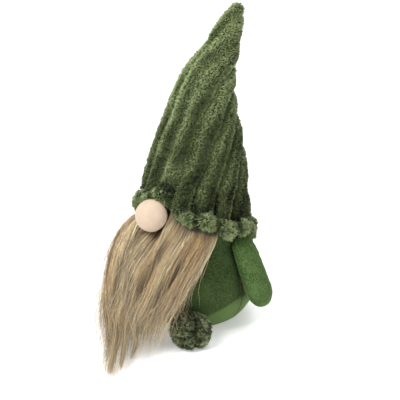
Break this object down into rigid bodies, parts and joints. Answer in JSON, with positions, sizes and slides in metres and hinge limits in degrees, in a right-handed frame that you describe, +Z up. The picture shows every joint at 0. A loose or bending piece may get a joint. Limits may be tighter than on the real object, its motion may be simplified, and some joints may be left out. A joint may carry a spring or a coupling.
{
  "type": "plush tomte gnome figurine",
  "caption": "Free-standing plush gnome with a tall ribbed hat, a round nose, a long fur beard, hanging arms and soft feet, weighted in its flat base.",
  "frame": {"origin": "centre of the flat base panel, on the surface the gnome stands on", "axes": "+Z up along the body, -Y the way the nose points, +X the gnome's left"},
  "size_m": [0.1806, 0.2235, 0.316],
  "materials": {
    "velour": "short-pile velour, deep green",
    "arm_velour": "short-pile velour, mid green",
    "ribbed_plush": "cut-pile plush with wide raised ribs, olive green",
    "foot_plush": "dense curled plush, grey-green",
    "fur": "long-pile faux fur, golden tan with grey-brown streaks",
    "knit_backing": "warp-knitted backing of the faux fur",
    "jersey": "smooth matte jersey, pale peach",
    "nose_foam": "moulded foam ball",
    "fibre_filling": "loose polyester fibre",
    "thread": "twisted sewing thread",
    "cotton": "plain-woven cotton",
    "card": "grey-board disc",
    "pellets": "plastic pellets, as one settled mass"
  },
  "bodies": {
    "torso": {"body_front_panel": "velour", "body_back_panel": "velour", "base_panel": "velour", "base_card": "card", "weight_pouch": "cotton", "weight_pellets": "pellets", "body_stuffing": "fibre_filling", "crown_tie": "thread", "hat_shell": "ribbed_plush", "hat_stuffing": "fibre_filling", "brim_ruffle": "ribbed_plush", "brim_gather_cord": "thread", "beard_backing": "knit_backing", "beard_fur": "fur", "nose_cover": "jersey", "nose_ball": "nose_foam", "nose_tie": "thread"},
    "left_arm_root": {"left_arm_thread": "thread"},
    "left_arm": {"left_arm_shell": "arm_velour", "left_arm_stuffing": "fibre_filling"},
    "right_arm_root": {"right_arm_thread": "thread"},
    "right_arm": {"right_arm_shell": "arm_velour", "right_arm_stuffing": "fibre_filling"},
    "left_foot": {"left_foot_shell": "foot_plush", "left_foot_stuffing": "fibre_filling"},
    "right_foot": {"right_foot_shell": "foot_plush", "right_foot_stuffing": "fibre_filling"}
  },
  "joints": [
    {"name": "left_arm_swing", "type": "hinge", "parent": "torso", "child": "left_arm_root", "pos_m": [0.04911, 0.008, 0.092], "axis": [-1, 0, 0], "range_deg": [-15, 50]},
    {"name": "left_arm_lift", "type": "hinge", "parent": "left_arm_root", "child": "left_arm", "pos_m": [0.05643, 0.008, 0.092], "axis": [0, -1, 0], "range_deg": [0, 55]},
    {"name": "right_arm_swing", "type": "hinge", "parent": "torso", "child": "right_arm_root", "pos_m": [-0.04911, 0.008, 0.092], "axis": [-1, 0, 0], "range_deg": [-15, 50]},
    {"name": "right_arm_lift", "type": "hinge", "parent": "right_arm_root", "child": "right_arm", "pos_m": [-0.05643, 0.008, 0.092], "axis": [0, 1, 0], "range_deg": [0, 55]},
    {"name": "left_foot_lift", "type": "hinge", "parent": "torso", "child": "left_foot", "pos_m": [0.03671, -0.04872, 0.028], "axis": [-0.7986, -0.6018, 0], "range_deg": [0, 20]},
    {"name": "right_foot_lift", "type": "hinge", "parent": "torso", "child": "right_foot", "pos_m": [-0.03142, -0.05229, 0.028], "axis": [-0.8572, 0.515, 0], "range_deg": [0, 20]}
  ]
}
